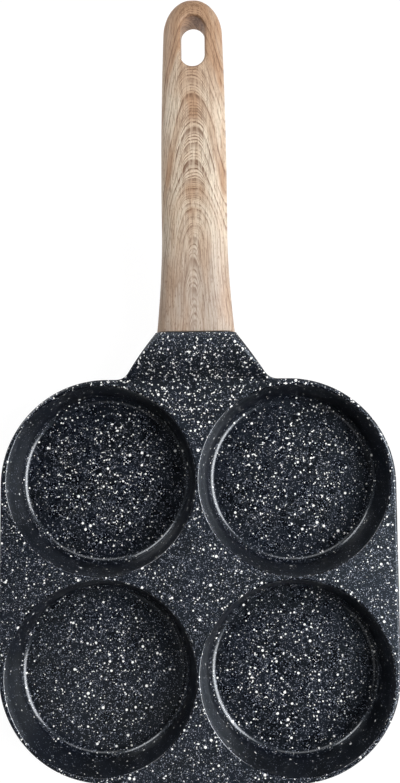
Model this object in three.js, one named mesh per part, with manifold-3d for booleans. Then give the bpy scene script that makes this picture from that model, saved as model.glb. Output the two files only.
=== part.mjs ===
// Four-cup pancake pan. One aluminium casting holds a square deck with four round cups, a rising neck
// and a tang. A steel disc is let into the base of each cup. A moulded wood-effect handle slides over
// the tang, and one screw from below, with a spring washer and a flat washer, holds it there.
// Millimetres, +Z up, +Y towards the handle's hanging end. The origin lies on the surface that the pan
// stands on, under the middle of its length and width.
import * as THREE from 'three';
import { mergeVertices } from 'three/addons/utils/BufferGeometryUtils.js';
import Module from 'manifold-3d';

const wasm = await Module();
wasm.setup();

// Cups
const cupPitch = 95;
const cupMouthRadius = 46.7;
const cupFloorRadius = 42.3;
const cupDepth = 20;
const cupFloorFillet = 3;
const cupRimRound = 0.8;
const cupWall = 2.6;
const cupBaseThickness = 4;
const cupBaseRound = 3.5;

// Deck
const deckMargin = 3.1;
const deckCornerRadius = 52;
const deckThickness = 4.5;
const deckEdgeRound = 1;

// Neck
const neckLength = 21.9;
const neckRise = 11;
const neckEndFall = THREE.MathUtils.degToRad(14);
const neckEndWidth = 39.2;
const neckEndRound = 6;
const neckFlareAngle = THREE.MathUtils.degToRad(37);
const neckFilletRadius = 8;
const neckRoot = 5;
const neckWall = 4;
const neckEndWall = 6;

// Handle
const handleLength = 159.8;
const handleFrontWidth = 38.6;
const handlePalmWidth = 31.9;
const handleTailWidth = 28.5;
const handleFrontThickness = 19;
const handleTailThickness = 16;
const handleFlareLength = 48;
const handlePalmPlace = 55;
const handleTipLength = 17.5;
const handleRiseAngle = THREE.MathUtils.degToRad(14);
const handleFlareCurve = 1.7;
const handleSectionCurve = 2.8;
const handleTipPlanCurve = 2;
const handleTipSideCurve = 3;

// Hanging slot
const slotLength = 24.6;
const slotWidth = 11.6;
const slotLip = 1.5;
const slotFromTip = 22.2;

// Tang and socket
const tangWidth = 22;
const tangThickness = 7;
const tangLength = 28;
const tangAboveCentre = 1.5;

// Screw and washers
const screwPlace = 15;
const screwRadius = 2.5;
const screwHeadRadius = 4.6;
const screwHeadHeight = 2.5;
const screwSeatThickness = 2.2;
const screwTipShort = 0.5;
const driveLength = 4.8;
const driveWidth = 1.1;
const driveDepth = 1.4;
const washerOuterRadius = 5;
const flatWasherThickness = 0.8;
const springWasherThickness = 1.1;
const springWasherGap = 1.2;

// Discs in the cup bases
const discRadius = 36;
const discThickness = 1;
const discEdgeRound = 0.3;

// Clearances
const fitGap = 0.3;
const stackGap = 0.2;

// Facets
const cupFacets = 40;
const arcSteps = 2;
const deckCornerSteps = 12;
const flareSteps = 7;
const handleRingPoints = 28;
const handleBodySteps = 14;
const handleTipSteps = 7;
const handleTipBlunt = 0.02;
const slotEndSteps = 8;
const smallFacets = 20;
const washerSteps = 10;
const cutPast = 5;
const mergeWithin = 1e-4;

// Places that follow from the sizes
const floorZ = cupBaseThickness;
const deckTop = floorZ + cupDepth;
const deckUnder = deckTop - deckThickness;
const deckHalf = cupPitch / 2 + cupMouthRadius + deckMargin;
const cupDraft = Math.atan2(cupMouthRadius - cupFloorRadius, cupDepth);
const jointY = deckHalf + neckLength;
const jointTop = deckTop + neckRise;
const jointCentreZ = jointTop - handleFrontThickness / 2;
const tipY = jointY + handleLength;
const tipStart = handleLength - handleTipLength;
const overallMiddleY = (tipY - deckHalf) / 2;

// Closed meshes to solids and back

function solidFrom(geometry) {
  const bare = geometry.clone();
  bare.deleteAttribute('normal');
  bare.deleteAttribute('uv');
  const merged = mergeVertices(bare, mergeWithin);
  const vertProperties = Float32Array.from(merged.attributes.position.array);
  const triVerts = Uint32Array.from(merged.index.array);
  return new wasm.Manifold(new wasm.Mesh({ numProp: 3, vertProperties, triVerts }));
}

function geometryFrom(solid) {
  const { vertProperties, triVerts } = solid.getMesh();
  const geometry = new THREE.BufferGeometry();
  geometry.setAttribute('position', new THREE.BufferAttribute(vertProperties, 3));
  geometry.setIndex(new THREE.BufferAttribute(triVerts, 1));
  geometry.computeVertexNormals();
  return geometry;
}

// A skin through rings of equal counts, closed at both ends by fans about each end ring's middle. Rings
// run anticlockwise as seen from the last ring, so the faces point out.
function skin(rings) {
  const count = rings[0].length;
  const middles = [rings[0], rings[rings.length - 1]].map((ring) =>
    ring.reduce((sum, point) => sum.add(point), new THREE.Vector3()).divideScalar(count));
  const points = [...rings.flat(), ...middles];
  const first = points.length - 2;
  const last = points.length - 1;
  const lastRing = (rings.length - 1) * count;
  const index = [];
  for (let i = 0; i < count; i += 1) {
    const next = (i + 1) % count;
    for (let ring = 0; ring < rings.length - 1; ring += 1) {
      const low = ring * count;
      const high = low + count;
      index.push(low + i, low + next, high + next, low + i, high + next, high + i);
    }
    index.push(first, next, i, last, lastRing + i, lastRing + next);
  }
  const geometry = new THREE.BufferGeometry().setFromPoints(points);
  geometry.setIndex(index);
  return geometry;
}

function turned(profile, facets) {
  return new THREE.LatheGeometry(profile, facets).rotateX(Math.PI / 2);
}

function upright(radius, low, high, facets = smallFacets) {
  const geometry = new THREE.CylinderGeometry(radius, radius, high - low, facets);
  return geometry.rotateX(Math.PI / 2).translate(0, 0, (high + low) / 2);
}

function arcPoints(centreR, centreZ, radius, from, to) {
  const points = [];
  for (let step = 0; step <= arcSteps; step += 1) {
    const angle = from + ((to - from) * step) / arcSteps;
    points.push(new THREE.Vector2(centreR + radius * Math.cos(angle), centreZ + radius * Math.sin(angle)));
  }
  return points;
}

// The round between a level face and the drafted cup wall that rises from its edge
function footRound(edgeRadius, z, radius) {
  const setIn = (radius * (1 - Math.sin(cupDraft))) / Math.cos(cupDraft);
  return arcPoints(edgeRadius - setIn, z + radius, radius, -Math.PI / 2, -cupDraft);
}

// The casting: cups

function cupHollow() {
  const setOut = (cupRimRound * (1 - Math.sin(cupDraft))) / Math.cos(cupDraft);
  const rim = arcPoints(
    cupMouthRadius + setOut, deckTop - cupRimRound, cupRimRound, Math.PI - cupDraft, Math.PI / 2);
  const above = deckTop + cutPast;
  return turned([
    new THREE.Vector2(0, floorZ),
    ...footRound(cupFloorRadius, floorZ, cupFloorFillet),
    ...rim,
    new THREE.Vector2(rim[arcSteps].x, above),
    new THREE.Vector2(0, above),
  ], cupFacets);
}

function cupOutside() {
  const wallOut = cupWall / Math.cos(cupDraft);
  const baseEdge = cupFloorRadius + wallOut - floorZ * Math.tan(cupDraft);
  const wallTop = deckUnder + deckThickness / 2;
  return turned([
    new THREE.Vector2(0, 0),
    ...footRound(baseEdge, 0, cupBaseRound),
    new THREE.Vector2(baseEdge + wallTop * Math.tan(cupDraft), wallTop),
    new THREE.Vector2(0, wallTop),
  ], cupFacets);
}

function discRecess() {
  return upright(discRadius + fitGap, -cutPast, discThickness + stackGap, cupFacets);
}

// The casting: deck, neck and tang

function deckSlab() {
  const straight = deckHalf - deckCornerRadius;
  const outline = new THREE.Shape();
  outline.absarc(straight, straight, deckCornerRadius, 0, Math.PI / 2);
  outline.absarc(-straight, straight, deckCornerRadius, Math.PI / 2, Math.PI);
  outline.absarc(-straight, -straight, deckCornerRadius, Math.PI, 1.5 * Math.PI);
  outline.absarc(straight, -straight, deckCornerRadius, 1.5 * Math.PI, 2 * Math.PI);
  const geometry = new THREE.ExtrudeGeometry(outline, {
    depth: deckThickness - 2 * deckEdgeRound,
    curveSegments: deckCornerSteps,
    bevelThickness: deckEdgeRound,
    bevelSize: deckEdgeRound,
    bevelOffset: -deckEdgeRound,
    bevelSegments: arcSteps,
  });
  return geometry.translate(0, 0, deckUnder + deckEdgeRound);
}

// How far along the neck a place is: 0 at its root in the deck, 1 at the handle
function alongNeck(y) {
  return THREE.MathUtils.clamp((y - deckHalf) / neckLength, 0, 1);
}

// The neck's top climbs steeply from the deck and rounds over to a slight fall at the handle.
function neckTop(y) {
  const t = alongNeck(y);
  const fall = (Math.tan(neckEndFall) * neckLength) / neckRise;
  return deckTop + neckRise * ((2 + fall) * t - (1 + fall) * t ** 2);
}

function neckBottom(y) {
  const t = alongNeck(y);
  return deckUnder + (jointTop - handleFrontThickness - deckUnder) * t ** 2 * (3 - 2 * t);
}

function neckRound(y) {
  return deckEdgeRound + (neckEndRound - deckEdgeRound) * alongNeck(y);
}

// The neck's side is a straight flare from the handle, then a fillet into the deck's rear edge. Each
// point is half the width at a place along the neck.
function neckSide() {
  const edgeHalf = neckEndWidth / 2 + neckLength * Math.tan(neckFlareAngle);
  const reach = neckFilletRadius * Math.tan((Math.PI / 2 - neckFlareAngle) / 2);
  const centreX = edgeHalf + reach;
  const centreY = deckHalf + neckFilletRadius;
  const side = arcPoints(centreX, centreY, neckFilletRadius, -Math.PI / 2, -Math.PI + neckFlareAngle);
  const flareStart = side[arcSteps];
  const flareEnd = new THREE.Vector2(neckEndWidth / 2, jointY);
  for (let step = 1; step <= flareSteps; step += 1) {
    side.push(new THREE.Vector2().lerpVectors(flareStart, flareEnd, step / flareSteps));
  }
  return side;
}

function roundedRing(y, halfWidth, bottom, top, radius) {
  const round = Math.min(radius, halfWidth, (top - bottom) / 2);
  const corners = [
    [halfWidth - round, top - round, 0],
    [round - halfWidth, top - round, Math.PI / 2],
    [round - halfWidth, bottom + round, Math.PI],
    [halfWidth - round, bottom + round, 1.5 * Math.PI],
  ];
  const ring = corners.flatMap(([x, z, turn]) => arcPoints(x, z, round, turn, turn + Math.PI / 2));
  return ring.reverse().map((point) => new THREE.Vector3(point.x, y, point.y));
}

function neckOutside() {
  const side = neckSide();
  const rings = side.map(({ x, y }) => roundedRing(y, x, neckBottom(y), neckTop(y), neckRound(y)));
  const rootRing = roundedRing(deckHalf - neckRoot, side[0].x, deckUnder, deckTop, deckEdgeRound);
  return skin([rootRing, ...rings]);
}

// The neck is cored from below along its flare, so that its walls are of even thickness.
function neckHollow() {
  const hollowStart = neckSide()[arcSteps].y;
  const hollowEnd = jointY - neckEndWall;
  const sideWall = neckWall / Math.cos(neckFlareAngle);
  const rings = [];
  for (let step = 0; step <= flareSteps; step += 1) {
    const y = hollowStart + ((hollowEnd - hollowStart) * step) / flareSteps;
    const half = neckEndWidth / 2 + (jointY - y) * Math.tan(neckFlareAngle) - sideWall;
    rings.push(roundedRing(y, half, neckBottom(y) - cutPast, neckTop(y) - neckWall, neckWall / 2));
  }
  return skin(rings);
}

// The tang and everything on its screw share one frame: its root at the neck's end, Y along the tang.
function handleCentre(u) {
  return jointCentreZ + Math.tan(handleRiseAngle) * u * (1 - u / (2 * handleLength));
}

const tangSlope = Math.atan2(handleCentre(tangLength) - jointCentreZ, tangLength);
const tangRoot = new THREE.Vector3(0, jointY, jointCentreZ + tangAboveCentre);
const tangFrame = new THREE.Matrix4().makeRotationX(tangSlope).setPosition(tangRoot);

function tangBlock(clearance) {
  const width = tangWidth + 2 * clearance;
  const thickness = tangThickness + 2 * clearance;
  const start = -neckEndWall / 2;
  const length = tangLength + clearance - start;
  return new THREE.BoxGeometry(width, length, thickness)
    .translate(0, start + length / 2, 0)
    .applyMatrix4(tangFrame);
}

function screwBore(radius, low, high) {
  return upright(radius, low, high).translate(0, screwPlace, 0).applyMatrix4(tangFrame);
}

const cupPlaces = [
  { name: 'front_left', x: -cupPitch / 2, y: -cupPitch / 2 },
  { name: 'front_right', x: cupPitch / 2, y: -cupPitch / 2 },
  { name: 'rear_left', x: -cupPitch / 2, y: cupPitch / 2 },
  { name: 'rear_right', x: cupPitch / 2, y: cupPitch / 2 },
];

function panBody() {
  let body = solidFrom(deckSlab()).add(solidFrom(neckOutside()));
  body = body.subtract(solidFrom(neckHollow()));
  for (const { x, y } of cupPlaces) {
    body = body.add(solidFrom(cupOutside().translate(x, y, 0)));
  }
  for (const { x, y } of cupPlaces) {
    body = body.subtract(solidFrom(cupHollow().translate(x, y, 0)));
    body = body.subtract(solidFrom(discRecess().translate(x, y, 0)));
  }
  body = body.add(solidFrom(tangBlock(0)));
  body = body.subtract(solidFrom(screwBore(screwRadius + fitGap, -tangThickness, tangThickness)));
  return geometryFrom(body);
}

// Discs in the cup bases

function inductionDisc() {
  return turned([
    new THREE.Vector2(0, 0),
    new THREE.Vector2(discRadius - discEdgeRound, 0),
    new THREE.Vector2(discRadius, discEdgeRound),
    new THREE.Vector2(discRadius, discThickness),
    new THREE.Vector2(0, discThickness),
  ], cupFacets);
}

// The handle

// Half the handle's width at a distance u from the neck: a flare at the front, a palm that tapers to
// the tail, and an elliptical tip.
function handleHalfWidth(u) {
  const flare = Math.max(0, 1 - u / handleFlareLength) ** handleFlareCurve;
  const taper = Math.max(0, Math.min(1, (u - handlePalmPlace) / (tipStart - handlePalmPlace))) ** 2;
  const body = handlePalmWidth
    + (handleFrontWidth - handlePalmWidth) * flare
    - (handlePalmWidth - handleTailWidth) * taper;
  return (body / 2) * tipRound(u, handleTipPlanCurve);
}

function handleHalfThickness(u) {
  const taper = Math.min(1, u / tipStart) ** 2;
  const body = handleFrontThickness - (handleFrontThickness - handleTailThickness) * taper;
  return (body / 2) * tipRound(u, handleTipSideCurve);
}

// 1 along the handle, falling to 0 at the tip along a superellipse of the given power
function tipRound(u, power) {
  const t = Math.max(0, (u - tipStart) / handleTipLength);
  return Math.max(0, 1 - t ** power) ** (1 / power);
}

function handleRing(u) {
  const ring = [];
  const bend = 2 / handleSectionCurve;
  for (let i = 0; i < handleRingPoints; i += 1) {
    const angle = (-2 * Math.PI * i) / handleRingPoints;
    const across = Math.sign(Math.cos(angle)) * Math.abs(Math.cos(angle)) ** bend;
    const up = Math.sign(Math.sin(angle)) * Math.abs(Math.sin(angle)) ** bend;
    ring.push(new THREE.Vector3(
      across * handleHalfWidth(u), jointY + u, handleCentre(u) + up * handleHalfThickness(u)));
  }
  return ring;
}

function handleOutside() {
  const places = [];
  for (let step = 0; step <= handleBodySteps; step += 1) {
    places.push(fitGap + ((tipStart - fitGap) * step) / handleBodySteps);
  }
  for (let step = 1; step <= handleTipSteps; step += 1) {
    const share = Math.sin((Math.PI / 2) * (step / handleTipSteps));
    places.push(tipStart + handleTipLength * share - handleTipBlunt);
  }
  const tip = new THREE.Vector3(0, tipY, handleCentre(handleLength));
  const rings = places.map(handleRing);
  const tipRing = rings[rings.length - 1].map(() => tip.clone());
  return skin([...rings, tipRing]);
}

// A round-ended slot whose edges swell into a lip at the handle's top and bottom
function slotCutter() {
  const centreU = handleLength - slotFromTip;
  const middle = handleCentre(centreU);
  const half = handleHalfThickness(centreU);
  const straight = (slotLength - slotWidth) / 2;
  const ring = (z, lip) => {
    const points = [];
    for (const end of [1, -1]) {
      for (let step = 0; step <= slotEndSteps; step += 1) {
        const angle = (end > 0 ? 0 : Math.PI) + (Math.PI * step) / slotEndSteps;
        const radius = slotWidth / 2 + lip;
        points.push(new THREE.Vector3(
          radius * Math.cos(angle), jointY + centreU + end * straight + radius * Math.sin(angle), z));
      }
    }
    return points;
  };
  const levels = [{ z: half + cutPast, lip: slotLip }];
  for (let step = arcSteps; step >= 0; step -= 1) {
    const angle = ((Math.PI / 2) * step) / arcSteps;
    levels.push({ z: half - slotLip * (1 - Math.sin(angle)), lip: slotLip * (1 - Math.cos(angle)) });
  }
  const upper = levels.map(({ z, lip }) => ring(middle + z, lip));
  const lower = levels.map(({ z, lip }) => ring(middle - z, lip));
  return skin([...lower, ...upper.reverse()]);
}

const seatZ = -(tangThickness / 2 + fitGap + screwSeatThickness);

function handleMoulding() {
  let handle = solidFrom(handleOutside());
  handle = handle.subtract(solidFrom(slotCutter()));
  handle = handle.subtract(solidFrom(tangBlock(fitGap)));
  handle = handle.subtract(solidFrom(screwBore(screwRadius + fitGap, seatZ - fitGap, 0)));
  const headRecess = screwBore(washerOuterRadius + fitGap, seatZ - handleFrontThickness, seatZ);
  handle = handle.subtract(solidFrom(headRecess));
  return geometryFrom(handle);
}

// The screw and its washers, in the tang's frame with the screw's axis along Z

const flatWasherTop = seatZ - stackGap;
const springWasherTop = flatWasherTop - flatWasherThickness - stackGap;
const screwHeadTop = springWasherTop - springWasherThickness - stackGap;

function washer(top, thickness, gap) {
  const bore = screwRadius + fitGap;
  const half = Math.asin(gap / 2 / bore);
  const ring = new THREE.Shape();
  if (gap > 0) {
    ring.absarc(0, 0, washerOuterRadius, half, 2 * Math.PI - half);
    ring.absarc(0, 0, bore, 2 * Math.PI - half, half, true);
  } else {
    ring.absarc(0, 0, washerOuterRadius, 0, 2 * Math.PI);
    ring.holes.push(new THREE.Path().absarc(0, 0, bore, 0, 2 * Math.PI, true));
  }
  const geometry = new THREE.ExtrudeGeometry(
    ring, { depth: thickness, bevelEnabled: false, curveSegments: washerSteps });
  return geometry.translate(0, screwPlace, top - thickness);
}

function handleScrew() {
  const tip = tangThickness / 2 - screwTipShort;
  const low = screwHeadTop - screwHeadHeight;
  const chamfer = screwHeadHeight / 2;
  const profile = [
    new THREE.Vector2(0, low),
    new THREE.Vector2(screwHeadRadius - chamfer, low),
    new THREE.Vector2(screwHeadRadius, low + chamfer),
    new THREE.Vector2(screwHeadRadius, screwHeadTop),
    new THREE.Vector2(screwRadius, screwHeadTop),
    new THREE.Vector2(screwRadius, tip),
    new THREE.Vector2(0, tip),
  ];
  let screw = solidFrom(turned(profile, smallFacets));
  for (const turn of [0, Math.PI / 2]) {
    const bar = new THREE.BoxGeometry(driveLength, driveWidth, 2 * driveDepth);
    screw = screw.subtract(solidFrom(bar.rotateZ(turn).translate(0, 0, low)));
  }
  return geometryFrom(screw).translate(0, screwPlace, 0);
}

// The pan

function piece(name, geometry, color, roughness, metalness) {
  const mesh = new THREE.Mesh(geometry, new THREE.MeshStandardMaterial({ color, roughness, metalness }));
  mesh.name = name;
  return mesh;
}

const coating = '#26272f';
const steel = '#b9bbbd';
const zincPlate = '#a9abad';
const woodEffect = '#c8ad90';

const pan = new THREE.Group();
pan.position.y = -overallMiddleY;
pan.add(piece('pan_body', panBody(), coating, 0.45, 0.1));
for (const { name, x, y } of cupPlaces) {
  const disc = piece(`induction_disc_${name}`, inductionDisc(), steel, 0.35, 1);
  disc.position.set(x, y, 0);
  pan.add(disc);
}
pan.add(piece('handle', handleMoulding(), woodEffect, 0.5, 0));

const fastening = new THREE.Group();
fastening.position.copy(tangRoot);
fastening.rotation.x = tangSlope;
fastening.add(piece('handle_screw', handleScrew(), zincPlate, 0.3, 1));
fastening.add(piece(
  'spring_washer', washer(springWasherTop, springWasherThickness, springWasherGap), steel, 0.4, 1));
fastening.add(piece('flat_washer', washer(flatWasherTop, flatWasherThickness, 0), zincPlate, 0.35, 1));
pan.add(fastening);

const model = new THREE.Group();
model.add(pan);

export default model;
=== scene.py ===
"""Looks of a four-cup pancake pan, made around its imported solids.

Shapes are worked out in millimetres, from the middle of the deck on the surface that the pan stands on.
X runs across the pan and Y towards the handle's hanging end. Shapes go into the frame in metres.
"""
import math

import bmesh
import bpy
import numpy as np
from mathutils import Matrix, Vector


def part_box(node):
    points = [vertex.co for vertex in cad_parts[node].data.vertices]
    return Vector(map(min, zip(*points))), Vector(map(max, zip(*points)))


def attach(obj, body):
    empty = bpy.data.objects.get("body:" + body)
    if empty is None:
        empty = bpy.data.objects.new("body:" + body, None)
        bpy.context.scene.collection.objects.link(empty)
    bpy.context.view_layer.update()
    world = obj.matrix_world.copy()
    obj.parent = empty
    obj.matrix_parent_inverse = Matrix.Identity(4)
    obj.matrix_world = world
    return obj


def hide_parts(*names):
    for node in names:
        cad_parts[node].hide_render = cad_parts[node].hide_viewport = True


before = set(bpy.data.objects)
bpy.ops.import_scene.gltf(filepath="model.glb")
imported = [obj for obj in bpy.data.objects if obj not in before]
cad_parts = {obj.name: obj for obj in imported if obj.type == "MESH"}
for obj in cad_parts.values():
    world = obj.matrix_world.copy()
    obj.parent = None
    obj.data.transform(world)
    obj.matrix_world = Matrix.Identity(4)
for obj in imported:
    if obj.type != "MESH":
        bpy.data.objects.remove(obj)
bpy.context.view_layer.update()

MM = 0.001
BODY = "root"


# Sizes taken from the frame

def node_box(node):
    """Lowest and highest corner of a CAD node, in millimetres in the frame."""
    low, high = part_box(node)
    return np.array(low) / MM, np.array(high) / MM


DISCS = ("front_left", "front_right", "rear_left", "rear_right")
disc_boxes = {name: node_box("induction_disc_" + name) for name in DISCS}
disc_middles = {name: (low + high) / 2 for name, (low, high) in disc_boxes.items()}
handle_low, handle_high = node_box("handle")

DECK_MIDDLE_Y = np.mean([middle[1] for middle in disc_middles.values()])
DECK_MIDDLE = np.array([0, DECK_MIDDLE_Y, 0])
CUP_OFFSET = disc_middles["rear_right"][0]
DECK_HALF = node_box("pan_body")[1][0]
DISC_RADIUS = (disc_boxes["rear_right"][1] - disc_boxes["rear_right"][0])[0] / 2
DISC_THICKNESS = disc_boxes["rear_right"][1][2]

# Sizes in millimetres, angles and powers of curves that the frame doesn't hold
FIT_GAP = 0.3
STACK_GAP = 0.2
STACK_GAPS = 3

CUP_MOUTH_RADIUS = 46.7
CUP_FLOOR_RADIUS = 42.3
CUP_FLOOR_Z = 4.0
CUP_WALL = 2.6
CUP_FLOOR_FILLET = 4.4
CUP_RIM_ROUND = 0.95
CUP_BASE_ROUND = 3.5
CUP_BASE_EDGE_ROUND = 0.3

DECK_TOP = 24.0
DECK_UNDER = 19.5
DECK_CORNER_RADIUS = 52.0
DECK_EDGE_ROUND = 1.4
DECK_LOWER_ROUND = 0.6
UNDER_FILLET = 2.5

NECK_END_WIDTH = 39.2
NECK_RISE = 11.0
NECK_END_FALL = math.radians(14)
NECK_CREASE = 1.4
NECK_FLARE = math.radians(37)
NECK_TURN_START = 0.4
NECK_FILLET = 8.0
NECK_END_ROUND = 4.0
NECK_END_LOWER_ROUND = 4.0
NECK_END_EDGE = 0.6
NECK_WALL = 4.0
NECK_CORE_START = 4.2
NECK_CORE_END = 6.0
NECK_CORE_SIDE = 5.0
NECK_CORE_ROUND = 2.0

TANG_HALF_WIDTH = 11.0
TANG_HALF_THICKNESS = 3.5
TANG_LENGTH = 28.0
TANG_ABOVE_CENTRE = 1.5
TANG_SECTION_CURVE = 8.0

HANDLE_FRONT_WIDTH = 38.6
HANDLE_PALM_WIDTH = 31.9
HANDLE_TAIL_WIDTH = 28.5
HANDLE_FRONT_THICKNESS = 19.0
HANDLE_TAIL_THICKNESS = 16.0
HANDLE_FLARE_LENGTH = 48.0
HANDLE_FLARE_CURVE = 1.7
HANDLE_PALM_PLACE = 55.0
HANDLE_TIP_LENGTH = 17.5
HANDLE_TIP_PLAN_CURVE = 2.0
HANDLE_TIP_SIDE_CURVE = 3.0
HANDLE_SECTION_CURVE = 2.8
HANDLE_RISE = math.tan(math.radians(14))
HANDLE_FRONT_EDGE = 0.6
HANDLE_TAIL_CUT = 112.0

SLOT_LENGTH = 24.6
SLOT_WIDTH = 11.6
SLOT_LIP = 1.6
SLOT_FROM_TIP = 22.2

SCREW_PLACE = 15.0
SCREW_RADIUS = 2.5
SCREW_SEAT = 2.2
SCREW_HEAD_RADIUS = 4.6
SCREW_HEAD_HEIGHT = 2.5
SCREW_HEAD_EDGE = 0.5
SCREW_TIP_SHORT = 0.5
SCREW_TIP_CHAMFER = 0.4
DRIVE_LENGTH = 4.8
DRIVE_WIDTH = 1.1
DRIVE_DEPTH = 1.4
DRIVE_TAPER = 0.6
WASHER_RADIUS = 5.0
FLAT_WASHER_THICKNESS = 0.8
SPRING_WASHER_THICKNESS = 1.1

DISC_EDGE_ROUND = 0.3
DISC_GROOVE_PITCH = 1.6
DISC_GROOVE_DEPTH = 0.09
DISC_PLAIN_RADIUS = 4.0
DISC_PLAIN_EDGE = 2.0

# Places that follow from the sizes
JOINT_Y = handle_low[1] - FIT_GAP - DECK_MIDDLE_Y
HANDLE_LENGTH = handle_high[1] - DECK_MIDDLE_Y - JOINT_Y
NECK_LENGTH = JOINT_Y - DECK_HALF
JOINT_TOP = DECK_TOP + NECK_RISE
JOINT_UNDER = JOINT_TOP - HANDLE_FRONT_THICKNESS
JOINT_CENTRE_Z = (JOINT_TOP + JOINT_UNDER) / 2
TIP_START = HANDLE_LENGTH - HANDLE_TIP_LENGTH
SEAT_Z = -(TANG_HALF_THICKNESS + FIT_GAP + SCREW_SEAT)
HEAD_TOP = SEAT_Z - FLAT_WASHER_THICKNESS - SPRING_WASHER_THICKNESS - STACK_GAPS * STACK_GAP
CUP_DRAFT = math.atan2(CUP_MOUTH_RADIUS - CUP_FLOOR_RADIUS, DECK_TOP - CUP_FLOOR_Z)
DRAFT_SET_IN = (1 - math.sin(CUP_DRAFT)) / math.cos(CUP_DRAFT)
CUP_BASE_EDGE = CUP_FLOOR_RADIUS + CUP_WALL / math.cos(CUP_DRAFT) - CUP_FLOOR_Z * math.tan(CUP_DRAFT)

# Steps of the surfaces, and their least distances in millimetres
FLOOR_STEPS = 9
FILLET_STEPS = 10
WALL_STEPS = 4
RIM_STEPS = 6
EDGE_STEPS = 5
LOWER_STEPS = 4
STRAIGHT_SAMPLES = 18
REAR_EDGE_SAMPLES = 4
CORNER_SAMPLES = 60
SEAM_SAMPLES = 36
FILLET_SAMPLES = 12
CORE_STEPS = 12
FLARE_SAMPLES = 26
END_SAMPLES = 20
REAR_DECK_STEPS = 30
FRONT_DECK_STEPS = 9
REAR_LOW_STEPS = 20
FRONT_LOW_STEPS = 7
OUTER_WALL_STEPS = 7
WALL_CLEAR = 0.45
WALL_RINGS_OUT = 1.5
SECTION_STEPS = 56
LENGTH_STEPS = 76
TAIL_SIDE_STEPS = 64
TAIL_STEPS = 26
SLOT_WALL_STEPS = 6
LIP_STEPS = 8
ROUND_STEPS = 96
GROOVE_STEPS = 6
MERGE_WITHIN = 0.004
SLIVER = 0.001
LEAST_WIDTH = 1e-9
SHARP_ANGLE = math.radians(40)


# Surfaces as patches of points and four-cornered faces

def grid_faces(rows, columns, closed=False):
    """Faces between neighbouring points of a grid stored row by row.

    When closed, the last column is joined to the first.
    """
    index = np.arange(rows * columns).reshape(rows, columns)
    if closed:
        index = np.concatenate([index, index[:, :1]], axis=1)
    corners = [index[:-1, :-1], index[:-1, 1:], index[1:, 1:], index[1:, :-1]]
    return np.stack(corners, axis=-1).reshape(-1, 4)


def patch(grid, closed=False):
    """A patch from a grid of points, an array of rows by columns by three."""
    rows, columns = grid.shape[:2]
    return grid.reshape(-1, 3), grid_faces(rows, columns, closed)


def joined(patches):
    """One patch of several: their points in a row, and their faces counted on from the points before."""
    points = [part[0] for part in patches]
    starts = np.cumsum([0] + [len(before) for before in points[:-1]])
    faces = [part[1] + start for part, start in zip(patches, starts)]
    return np.concatenate(points), np.concatenate(faces)


def mirrored(part, axis):
    """The patch with one coordinate's sign changed, and its faces run the other way round."""
    points, faces = part
    signs = np.ones(3)
    signs[axis] = -1
    return points * signs, faces[:, ::-1]


def arc(centre_a, centre_b, radius, start, end, steps):
    """Points of an arc: the centre plus the radius times the cosine and sine of evenly spaced angles."""
    angle = np.linspace(start, end, steps + 1)
    return np.stack([centre_a + radius * np.cos(angle), centre_b + radius * np.sin(angle)], axis=1)


def quarter_turn(steps):
    """Evenly spaced angles from 0 to a quarter of a turn."""
    return np.linspace(0, math.pi / 2, steps + 1)


def full_turn(steps):
    """Evenly spaced angles all the way round, without the last, which is the first again."""
    return np.linspace(0, 2 * math.pi, steps + 1)[:-1]


def points_of(x, y, z):
    """Points from their coordinates, each repeated where it is the same for many."""
    return np.stack(np.broadcast_arrays(x, y, z), axis=-1)


def superellipse(share, power):
    """1 in the middle and 0 at the edge: the power root of one less the power of the share of the way."""
    return (1 - share**power) ** (1 / power)


def smooth_step(value, low, high):
    """0 below low, 1 above high, and three t squared less two t cubed between."""
    t = np.clip((value - low) / (high - low), 0, 1)
    return t * t * (3 - 2 * t)


def smooth_min(a, b, width):
    """The lesser of two values, rounded off by a parabola where they differ by less than the width."""
    share = np.clip(0.5 + (b - a) / (2 * width), 0, 1)
    return b + (a - b) * share - width * share * (1 - share)


def make_piece(name, part):
    """A mesh object from a patch in millimetres, closed where points coincide, its faces outwards."""
    points, faces = part
    placed = (points + DECK_MIDDLE) * MM
    mesh = bpy.data.meshes.new(name)
    mesh.from_pydata(placed, [], faces)
    form = bmesh.new()
    form.from_mesh(mesh)
    bmesh.ops.remove_doubles(form, verts=form.verts, dist=MERGE_WITHIN * MM)
    bmesh.ops.dissolve_degenerate(form, edges=form.edges, dist=SLIVER * MM)
    bmesh.ops.recalc_face_normals(form, faces=form.faces)
    form.to_mesh(mesh)
    form.free()
    mesh.shade_smooth()
    mesh.set_sharp_from_angle(angle=SHARP_ANGLE)
    piece = bpy.data.objects.new(name, mesh)
    bpy.context.scene.collection.objects.link(piece)
    return piece


def stand_for(piece, slot, *nodes):
    """The piece rides on the pan's one body and stands for CAD nodes, which are hidden; the slot is not
    used.
    """
    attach(piece, BODY)
    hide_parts(*nodes)


# Camera

CAMERA_PLACE = (0.01295, -0.03478, 0.45995)
CAMERA_TURN = (4.5698, 1.5135, -0.4320)
CAMERA_FOCUS_PIXELS = 885.66
IMAGE_HEIGHT_PIXELS = 783.0
SENSOR = 36.0


def make_camera():
    """A camera above the pan; its sensor's width lies along the image's longer side."""
    camera = bpy.data.cameras.new("camera")
    camera.sensor_width = SENSOR
    camera.lens = CAMERA_FOCUS_PIXELS * SENSOR / IMAGE_HEIGHT_PIXELS
    held = bpy.data.objects.new("camera", camera)
    held.location = CAMERA_PLACE
    held.rotation_euler = [math.radians(turn) for turn in CAMERA_TURN]
    bpy.context.scene.collection.objects.link(held)
    bpy.context.scene.camera = held


# The casting

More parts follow.
